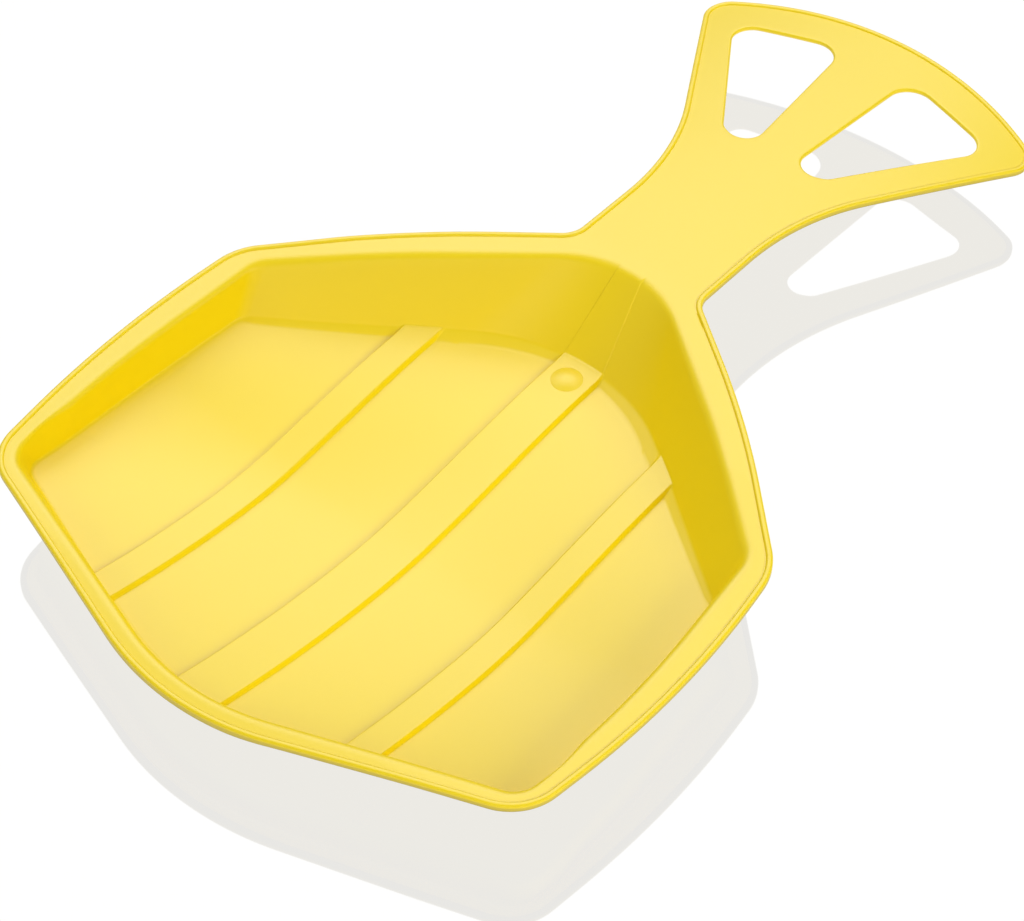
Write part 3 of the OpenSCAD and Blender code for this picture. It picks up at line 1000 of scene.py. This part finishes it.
class NodeKit:
    """Short ways to build a Geometry Nodes group."""

    def __init__(self, name: str) -> None:
        """Starts an empty group with a mesh going in and coming out.

        Args:
            name: Name of the group.
        """
        self.tree = bpy.data.node_groups.new(name, "GeometryNodeTree")
        self.tree.interface.new_socket("Geometry", in_out="INPUT", socket_type="NodeSocketGeometry")
        self.tree.interface.new_socket("Geometry", in_out="OUTPUT", socket_type="NodeSocketGeometry")
        self.start = self.tree.nodes.new("NodeGroupInput")
        self.end = self.tree.nodes.new("NodeGroupOutput")

    def value(self, name: str, default: float) -> bpy.types.NodeSocket:
        """Adds a named number to the group's inputs.

        Args:
            name: Name of the input.
            default: Its first value.

        Returns:
            The socket that gives it.
        """
        socket = self.tree.interface.new_socket(name, in_out="INPUT", socket_type="NodeSocketFloat")
        socket.default_value = default
        return self.start.outputs[name]

    def node(self, kind: str, **settings: object) -> bpy.types.Node:
        """Adds a node and sets its properties.

        Args:
            kind: Type of the node.
            settings: Its properties.

        Returns:
            The node.
        """
        made = self.tree.nodes.new(kind)
        for key, setting in settings.items():
            setattr(made, key, setting)
        return made

    def join(self, source: bpy.types.NodeSocket, target: bpy.types.NodeSocket) -> None:
        """Links two sockets."""
        self.tree.links.new(source, target)

    def math(self, operation: str, *values: object) -> bpy.types.NodeSocket:
        """Adds a maths node fed by sockets or numbers.

        Args:
            operation: What the node works out.
            values: Sockets or numbers.

        Returns:
            The result.
        """
        made = self.node("ShaderNodeMath", operation=operation)
        for k, v in enumerate(values):
            if isinstance(v, bpy.types.NodeSocket):
                self.join(v, made.inputs[k])
            else:
                made.inputs[k].default_value = float(v)
        return made.outputs[0]

    def named(self, name: str) -> bpy.types.NodeSocket:
        """Reads a number that the mesh carries.

        Args:
            name: Name under which the mesh carries it.

        Returns:
            The socket that gives it.
        """
        made = self.node("GeometryNodeInputNamedAttribute", data_type="FLOAT")
        made.inputs["Name"].default_value = name
        return made.outputs["Attribute"]

    def finish(
        self, mesh: bpy.types.NodeSocket, material: bpy.types.Material
    ) -> bpy.types.GeometryNodeTree:
        """Ends the group with real meshes, smooth faces and the material.

        Args:
            mesh: Socket with the geometry.
            material: Material of the piece.

        Returns:
            The finished group.
        """
        real = self.node("GeometryNodeRealizeInstances")
        self.join(mesh, real.inputs[0])
        shade = self.node("GeometryNodeSetShadeSmooth")
        self.join(real.outputs[0], shade.inputs[0])
        paint = self.node("GeometryNodeSetMaterial")
        paint.inputs["Material"].default_value = material
        self.join(shade.outputs[0], paint.inputs[0])
        self.join(paint.outputs[0], self.end.inputs[0])
        return self.tree


def applied(
    obj: bpy.types.Object, tree: bpy.types.GeometryNodeTree, values: dict[str, float]
) -> bpy.types.Object:
    """Runs a node group over an object and keeps the result as its mesh.

    Args:
        obj: Object to work on.
        tree: The node group.
        values: Named numbers for the group's inputs.

    Returns:
        The same object with its final mesh.
    """
    modifier = obj.modifiers.new("build", "NODES")
    modifier.node_group = tree
    names = {i.name: i.identifier for i in tree.interface.items_tree if i.in_out == "INPUT"}
    for name, number in values.items():
        modifier[names[name]] = float(number)
    bpy.context.view_layer.update()
    graph = bpy.context.evaluated_depsgraph_get()
    made = bpy.data.meshes.new_from_object(obj.evaluated_get(graph), depsgraph=graph)
    made.name = obj.name + "_mesh"
    obj.modifiers.clear()
    obj.data = made
    return obj


@dataclass
class FloorRelief:
    """Raised strips that run along the floor, and their grooves underneath."""

    sizes: SliderSizes
    flank: float = 1.5

    def tree(self, material: bpy.types.Material) -> bpy.types.GeometryNodeTree:
        """Builds the node group that raises the strips.

        Args:
            material: Material of the piece.

        Returns:
            The node group.
        """
        kit = NodeKit("floor_relief")
        height = kit.value("Strip height", 0.003)
        mid = kit.value("Middle strip half width", 0.0125)
        centre = kit.value("Side strip distance", 0.074)
        half = kit.value("Side strip half width", 0.008)
        flank = kit.value("Flank width", 0.0015)
        wall = kit.value("Wall thickness", 0.0026)
        split = kit.node("ShaderNodeSeparateXYZ")
        kit.join(kit.node("GeometryNodeInputPosition").outputs[0], split.inputs[0])
        across = kit.math("ABSOLUTE", split.outputs["X"])
        shrink = kit.math("MULTIPLY", kit.named("under"), wall)
        in_mid = kit.math("SUBTRACT", mid, across)
        off = kit.math("ABSOLUTE", kit.math("SUBTRACT", across, centre))
        in_side = kit.math("SUBTRACT", half, off)
        depth = kit.math("SUBTRACT", kit.math("MAXIMUM", in_mid, in_side), shrink)
        ramp = kit.node("ShaderNodeMapRange", interpolation_type="SMOOTHSTEP")
        kit.join(depth, ramp.inputs["Value"])
        kit.join(kit.math("MULTIPLY", flank, -0.5), ramp.inputs["From Min"])
        kit.join(kit.math("MULTIPLY", flank, 0.5), ramp.inputs["From Max"])
        lift = kit.math("MULTIPLY", kit.math("MULTIPLY", ramp.outputs[0], height), kit.named("relief"))
        joint = kit.node("ShaderNodeCombineXYZ")
        kit.join(lift, joint.inputs["Z"])
        move = kit.node("GeometryNodeSetPosition")
        kit.join(kit.start.outputs["Geometry"], move.inputs["Geometry"])
        kit.join(joint.outputs[0], move.inputs["Offset"])
        return kit.finish(move.outputs[0], material)

    def dress(self, shell: bpy.types.Object, material: bpy.types.Material) -> bpy.types.Object:
        """Raises the strips on the shell.

        Args:
            shell: The slider's skin.
            material: Its material.

        Returns:
            The skin with its strips.
        """
        s = self.sizes
        return applied(shell, self.tree(material), {
            "Strip height": s.strip_h * MM,
            "Middle strip half width": s.mid_strip_w / 2.0 * MM,
            "Side strip distance": s.side_strip_x * MM,
            "Side strip half width": s.side_strip_w / 2.0 * MM,
            "Flank width": self.flank * MM,
            "Wall thickness": s.wall_t * MM,
        })


@dataclass
class RolledEdge:
    """Rolled edge with its turned-down lip, swept round the whole outline."""

    sizes: SliderSizes
    plan: Plan
    heights: Heights
    corner_r: float = 1.25
    corner_steps: int = 5
    rear_reach: float = 55.0
    rear_fade: float = 30.0
    rear_zone: float = 60.0

    def path(self) -> bpy.types.Object:
        """Closed centre line of the edge, with the extra depth of the lip at each point.

        Returns:
            The line as an object.
        """
        s = self.sizes
        half = self.plan.edge + self.plan.inward(self.plan.edge) * (s.edge_w / 2.0)
        half[0, 0] = half[-1, 0] = 0.0
        loop = np.vstack([half, half[::-1][1:-1] * np.array([-1.0, 1.0])])
        extra = (s.rear_lip_h - s.lip_h) * smooth((self.rear_reach - np.abs(loop[:, 0])) / self.rear_fade)
        extra = np.where(loop[:, 1] < self.rear_zone, extra, 0.0)
        z = self.heights.rim(loop) + (s.edge_rise - s.lip_h) / 2.0
        points = np.column_stack([loop[:, 0], loop[:, 1] - self.plan.mid_y, z]) * MM
        mesh = bpy.data.meshes.new("edge_path")
        n = len(points)
        mesh.from_pydata(points.tolist(), [(k, (k + 1) % n) for k in range(n)], [])
        carry(mesh, "lip_extra", extra * MM)
        carry(mesh, "middle_z", z * MM)
        return placed("rolled_edge", mesh)

    def tree(self, material: bpy.types.Material) -> bpy.types.GeometryNodeTree:
        """Builds the node group that sweeps the rounded section.

        Args:
            material: Material of the piece.

        Returns:
            The node group.
        """
        kit = NodeKit("rolled_edge")
        width = kit.value("Edge width", 0.0032)
        depth = kit.value("Edge depth", 0.0045)
        radius = kit.value("Corner radius", 0.00125)
        curve = kit.node("GeometryNodeMeshToCurve")
        kit.join(kit.start.outputs["Geometry"], curve.inputs["Mesh"])
        normal = kit.node("GeometryNodeSetCurveNormal", mode="Z_UP")
        kit.join(curve.outputs[0], normal.inputs["Curve"])
        box = kit.node("GeometryNodeCurvePrimitiveQuadrilateral")
        kit.join(width, box.inputs["Width"])
        kit.join(depth, box.inputs["Height"])
        fillet = kit.node("GeometryNodeFilletCurve", mode="POLY")
        kit.join(box.outputs[0], fillet.inputs["Curve"])
        kit.join(radius, fillet.inputs["Radius"])
        fillet.inputs["Count"].default_value = self.corner_steps
        split = kit.node("ShaderNodeSeparateXYZ")
        kit.join(kit.node("GeometryNodeInputPosition").outputs[0], split.inputs[0])
        lower = kit.math("LESS_THAN", split.outputs["Z"], kit.named("middle_z"))
        sweep = kit.node("GeometryNodeCurveToMesh")
        kit.join(normal.outputs[0], sweep.inputs["Curve"])
        kit.join(fillet.outputs[0], sweep.inputs["Profile Curve"])
        down = kit.math("MULTIPLY", kit.math("MULTIPLY", lower, kit.named("lip_extra")), -1.0)
        joint = kit.node("ShaderNodeCombineXYZ")
        kit.join(down, joint.inputs["Z"])
        move = kit.node("GeometryNodeSetPosition")
        kit.join(sweep.outputs[0], move.inputs["Geometry"])
        kit.join(joint.outputs[0], move.inputs["Offset"])
        return kit.finish(move.outputs[0], material)

    def build(self, material: bpy.types.Material) -> bpy.types.Object:
        """Sweeps the edge.

        Args:
            material: Material of the piece.

        Returns:
            The edge as an object.
        """
        s = self.sizes
        return applied(self.path(), self.tree(material), {
            "Edge width": s.edge_w * MM,
            "Edge depth": (s.edge_rise + s.lip_h) * MM,
            "Corner radius": self.corner_r * MM,
        })


@dataclass
class GateDome:
    """Low dome over the moulding gate, with the gate's tiny mark in its middle."""

    sizes: SliderSizes
    plan: Plan
    heights: Heights
    rise: float = 1.5
    centre_y: float = 272.7
    power: float = 1.15
    lift: float = 0.01
    root: float = 0.8
    mark_depth: float = 0.15
    mark_r: float = 0.6
    rings: int = 22
    around: int = 64

    def build(self, material: bpy.types.Material) -> bpy.types.Object:
        """Turns the dome's section about its own axis.

        Args:
            material: Material of the piece.

        Returns:
            The dome as an object.
        """
        s = self.sizes
        r = s.gate_d / 2.0
        radii = np.linspace(0.0, 1.0, self.rings + 1)[1:] * r
        shape = self.rise * (1.0 - (radii / r) ** 2) ** self.power - self.lift
        shape -= self.mark_depth * np.exp(-((radii / self.mark_r) ** 2))
        angle = np.linspace(0.0, 2.0 * math.pi, self.around, endpoint=False)
        points = [(0.0, self.centre_y, self.rise - (self.mark_depth + self.lift))]
        for radius, height in zip(radii, shape):
            points += [(radius * math.cos(a), self.centre_y + radius * math.sin(a), height) for a in angle]
        points += [(r * math.cos(a), self.centre_y + r * math.sin(a), -self.root) for a in angle]
        points.append((0.0, self.centre_y, -self.root))
        flat = np.array(points)
        base = self.heights.floor(flat[:, :2] * np.array([0.0, 1.0])) + s.strip_h + self.lift
        flat[:, 2] += base
        flat[:, 1] -= self.plan.mid_y
        n, last = self.around, len(points) - 1
        faces = [[0, 1 + k, 1 + (k + 1) % n] for k in range(n)]
        for ring in range(self.rings):
            a, b = 1 + ring * n, 1 + (ring + 1) * n
            faces += [[a + k, b + k, b + (k + 1) % n, a + (k + 1) % n] for k in range(n)]
        a = 1 + self.rings * n
        faces += [[a + (k + 1) % n, a + k, last] for k in range(n)]
        mesh = bpy.data.meshes.new("gate_mesh")
        mesh.from_pydata((flat * MM).tolist(), [], faces)
        mesh.materials.append(material)
        mesh.shade_smooth()
        return placed("gate_cap", mesh)


@dataclass(frozen=True)
class PlasticFinish:
    """Satin yellow plastic with a fine moulded grain, and painted shade that can darken its sideways and
    lower faces.
    """

    name: str = "yellow_plastic"
    colour: tuple = (0.965, 0.73, 0.0)
    shade: tuple = (0.945, 0.705, 0.0)
    roughness: float = 0.42
    roughness_play: float = 0.05
    grain_scale: float = 900.0
    grain_detail: float = 3.0
    grain_depth: float = 0.00002
    grain_strength: float = 0.4
    wave_scale: float = 9.0
    wave_detail: float = 4.0
    specular: float = 0.95
    # Painted shade: the colour's value on faces that look down; 1.0 paints no shade.
    painted_shade_value: float = 1.0
    painted_shade_start: float = -0.3
    painted_shade_end: float = 0.35

    def build(self) -> bpy.types.Material:
        """Builds the shader.

        Returns:
            The material.
        """
        material = bpy.data.materials.new(self.name)
        material.use_nodes = True
        tree = material.node_tree
        skin = tree.nodes["Principled BSDF"]
        place = tree.nodes.new("ShaderNodeTexCoord").outputs["Object"]
        tree.links.new(self._colour(tree, place), skin.inputs["Base Color"])
        skin.inputs["Specular IOR Level"].default_value = self.specular
        self._grain(tree, place, skin)
        return material

    def _colour(self, tree: bpy.types.NodeTree, place: bpy.types.NodeSocket) -> bpy.types.NodeSocket:
        """Yellow that varies softly, with painted shade: darkened on faces that look sideways or down.

        Args:
            tree: The material's nodes.
            place: Socket with the point's place on the piece.

        Returns:
            Socket with the colour.
        """
        nodes, links = tree.nodes, tree.links
        cloud = nodes.new("ShaderNodeTexNoise")
        cloud.inputs["Scale"].default_value = self.wave_scale
        cloud.inputs["Detail"].default_value = self.wave_detail
        links.new(place, cloud.inputs["Vector"])
        tone = nodes.new("ShaderNodeMix")
        tone.data_type = "RGBA"
        tone.inputs["A"].default_value = (*self.shade, 1.0)
        tone.inputs["B"].default_value = (*self.colour, 1.0)
        links.new(cloud.outputs["Fac"], tone.inputs["Factor"])
        # Painted shade: the colour is darkened as the face's normal turns sideways or down.
        way = nodes.new("ShaderNodeNewGeometry")
        split = nodes.new("ShaderNodeSeparateXYZ")
        links.new(way.outputs["Normal"], split.inputs[0])
        low = nodes.new("ShaderNodeMapRange")
        low.inputs["From Min"].default_value = self.painted_shade_start
        low.inputs["From Max"].default_value = self.painted_shade_end
        low.inputs["To Min"].default_value = self.painted_shade_value
        low.inputs["To Max"].default_value = 1.0
        links.new(split.outputs["Z"], low.inputs["Value"])
        painted_shade_dim = nodes.new("ShaderNodeHueSaturation")
        links.new(low.outputs[0], painted_shade_dim.inputs["Value"])
        links.new(tone.outputs["Result"], painted_shade_dim.inputs["Color"])
        return painted_shade_dim.outputs[0]

    def _grain(
        self, tree: bpy.types.NodeTree, place: bpy.types.NodeSocket, skin: bpy.types.Node
    ) -> None:
        """Fine moulded grain in the gloss and in the surface.

        Args:
            tree: The material's nodes.
            place: Socket with the point's place on the piece.
            skin: The plastic's shader node.
        """
        nodes, links = tree.nodes, tree.links
        grain = nodes.new("ShaderNodeTexNoise")
        grain.inputs["Scale"].default_value = self.grain_scale
        grain.inputs["Detail"].default_value = self.grain_detail
        links.new(place, grain.inputs["Vector"])
        rough = nodes.new("ShaderNodeMapRange")
        rough.inputs["To Min"].default_value = self.roughness - self.roughness_play
        rough.inputs["To Max"].default_value = self.roughness + self.roughness_play
        links.new(grain.outputs["Fac"], rough.inputs["Value"])
        links.new(rough.outputs[0], skin.inputs["Roughness"])
        bump = nodes.new("ShaderNodeBump")
        bump.inputs["Distance"].default_value = self.grain_depth
        bump.inputs["Strength"].default_value = self.grain_strength
        links.new(grain.outputs["Fac"], bump.inputs["Height"])
        links.new(bump.outputs[0], skin.inputs["Normal"])


@dataclass(frozen=True)
class TableFinish:
    """Pale acrylic table top with a painted glow, so it hardly takes a shadow, dimmer near the middle as a
    painted shadow pool; it shows a faint mirror image.
    """

    colour: tuple = (1.0, 0.995, 0.985, 1.0)
    # Painted glow of the table: weaker near the middle as a painted shadow pool round the slider, stronger
    # far away.
    painted_glow: float = 0.845
    painted_glow_far: float = 0.985
    mirror: float = 0.07
    roughness: float = 0.04
    near: float = 0.42
    far: float = 0.95

    def build(self) -> bpy.types.Material:
        """Builds the shader.

        Returns:
            The material.
        """
        material = bpy.data.materials.new("table_painted_glow")
        material.use_nodes = True
        nodes, links = material.node_tree.nodes, material.node_tree.links
        nodes.remove(nodes["Principled BSDF"])
        # Painted glow: the table gives off light of its own although it is no lamp.
        painted_glow = nodes.new("ShaderNodeEmission")
        painted_glow.inputs["Color"].default_value = self.colour
        gloss = nodes.new("ShaderNodeBsdfGlossy")
        gloss.inputs["Color"].default_value = WHITE
        gloss.inputs["Roughness"].default_value = self.roughness
        mix = nodes.new("ShaderNodeMixShader")
        place = nodes.new("ShaderNodeTexCoord")
        reach = nodes.new("ShaderNodeVectorMath")
        reach.operation = "LENGTH"
        links.new(place.outputs["Object"], reach.inputs[0])
        for socket, close, away in (
            (mix.inputs["Fac"], self.mirror, 0.0),
            (painted_glow.inputs["Strength"], self.painted_glow, self.painted_glow_far),
        ):
            fade = nodes.new("ShaderNodeMapRange")
            fade.interpolation_type = "SMOOTHSTEP"
            fade.inputs["From Min"].default_value = self.near
            fade.inputs["From Max"].default_value = self.far
            fade.inputs["To Min"].default_value = close
            fade.inputs["To Max"].default_value = away
            links.new(reach.outputs["Value"], fade.inputs["Value"])
            links.new(fade.outputs[0], socket)
        links.new(painted_glow.outputs[0], mix.inputs[1])
        links.new(gloss.outputs[0], mix.inputs[2])
        links.new(mix.outputs[0], nodes["Material Output"].inputs["Surface"])
        return material


@dataclass(frozen=True)
class SoftBox:
    """A soft box, with its place, its power in watts and whether shiny surfaces mirror it."""

    name: str
    where: tuple
    power: float
    aim: tuple = (0.0, 0.0, 0.0)
    size: tuple = (1.4, 0.9)
    mirrored: bool = False

    def build(self) -> bpy.types.Object:
        """Hangs the soft box and turns it to its aim.

        Returns:
            The lamp.
        """
        data = bpy.data.lights.new(self.name, "AREA")
        data.shape = "RECTANGLE"
        data.size, data.size_y = self.size
        data.energy = self.power
        obj = placed(self.name, data)
        obj.location = self.where
        obj.rotation_euler = (Vector(self.aim) - Vector(self.where)).to_track_quat("-Z", "Y").to_euler()
        obj.visible_glossy = self.mirrored
        return obj


@dataclass
class Studio:
    """Table, lights, surroundings and camera; the camera's place is in millimetres from the rear edge."""

    plan: Plan
    table_half: float = 6.0
    table_drop: float = 0.0004
    room: float = 0.15
    boxes: tuple = (
        SoftBox("back_box", (-0.898, 1.085, 1.62), 28.0, (0.0055, -0.0555, 0.0), (1.8, 1.6), True),
        SoftBox("right_box", (1.7, 0.0, 1.0), 21.0),
        SoftBox("rear_box", (0.7, -1.6, 1.0), 9.0),
        SoftBox("left_box", (-1.2, -1.2, 1.0), 6.5),
    )
    eye: tuple = (554.6, -469.1, 984.4)
    yaw: float = -0.670
    pitch: float = 0.839
    roll: float = -0.012
    lens: float = 97.77
    sensor: float = 36.0

    def table(self) -> bpy.types.Object:
        """Large pale table top under the slider.

        Returns:
            The table top.
        """
        half = self.table_half
        corners = [(-half, -half, 0), (half, -half, 0), (half, half, 0), (-half, half, 0)]
        mesh = bpy.data.meshes.new("table_top")
        mesh.from_pydata(corners, [], [(0, 1, 2, 3)])
        mesh.materials.append(TableFinish().build())
        obj = placed("table_top", mesh)
        obj.location.z = -self.table_drop
        return obj

    def surroundings(self) -> None:
        """Plain white surroundings."""
        world = bpy.data.worlds.new("white_room")
        world.use_nodes = True
        back = world.node_tree.nodes["Background"]
        back.inputs["Color"].default_value = WHITE
        back.inputs["Strength"].default_value = self.room
        bpy.context.scene.world = world

    def camera(self) -> bpy.types.Object:
        """Camera that looks down on the slider from behind its right rear corner.

        Returns:
            The camera.
        """
        level = np.array([math.sin(self.yaw), math.cos(self.yaw), 0.0])
        forward = math.cos(self.pitch) * level - math.sin(self.pitch) * np.array([0.0, 0.0, 1.0])
        right = np.array([math.cos(self.yaw), -math.sin(self.yaw), 0.0])
        down = np.cross(forward, right)
        right_r = math.cos(self.roll) * right + math.sin(self.roll) * down
        down_r = -math.sin(self.roll) * right + math.cos(self.roll) * down
        turn = Matrix((right_r.tolist(), (-down_r).tolist(), (-forward).tolist())).transposed()
        data = bpy.data.cameras.new("view")
        data.sensor_width = self.sensor
        data.lens = self.lens
        obj = placed("view", data)
        x, y, z = self.eye
        obj.matrix_world = Matrix.Translation(Vector((x, y - self.plan.mid_y, z)) * MM) @ turn.to_4x4()
        bpy.context.scene.camera = obj
        return obj

    def build(self) -> None:
        """Sets the whole studio up."""
        self.table()
        self.surroundings()
        for box in self.boxes:
            box.build()
        self.camera()
        bpy.context.scene.view_settings.view_transform = "Standard"


def report(piece: bpy.types.Object) -> None:
    """Logs a piece's name and mesh size."""
    LOG.info("%s: %d points, %d faces", piece.name, len(piece.data.vertices), len(piece.data.polygons))


def main() -> None:
    """Builds the slider and its studio."""
    sizes = SliderSizes()
    plan = Plan(sizes)
    heights = Heights(sizes)
    plastic = PlasticFinish().build()
    names = sorted(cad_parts)
    shell = FloorRelief(sizes).dress(Shell(sizes, plan, heights).build(), plastic)
    # The rolled edge's plastic gets painted shade on its sideways and lower faces.
    rolled = PlasticFinish(name="yellow_plastic_edge", painted_shade_value=0.45).build()
    edge = RolledEdge(sizes, plan, heights).build(rolled)
    gate = GateDome(sizes, plan, heights).build(plastic)
    edge_nodes = [n for n in names if n.startswith("edge_")]
    groups = (
        (shell, [n for n in names if n not in edge_nodes and n != "gate_dome"]),
        (edge, edge_nodes),
        (gate, ["gate_dome"]),
    )
    for piece, stood_for in groups:
        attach(piece, "root")
        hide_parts(*stood_for)
        report(piece)
    Studio(plan).build()


if __name__ == "__main__":
    main()
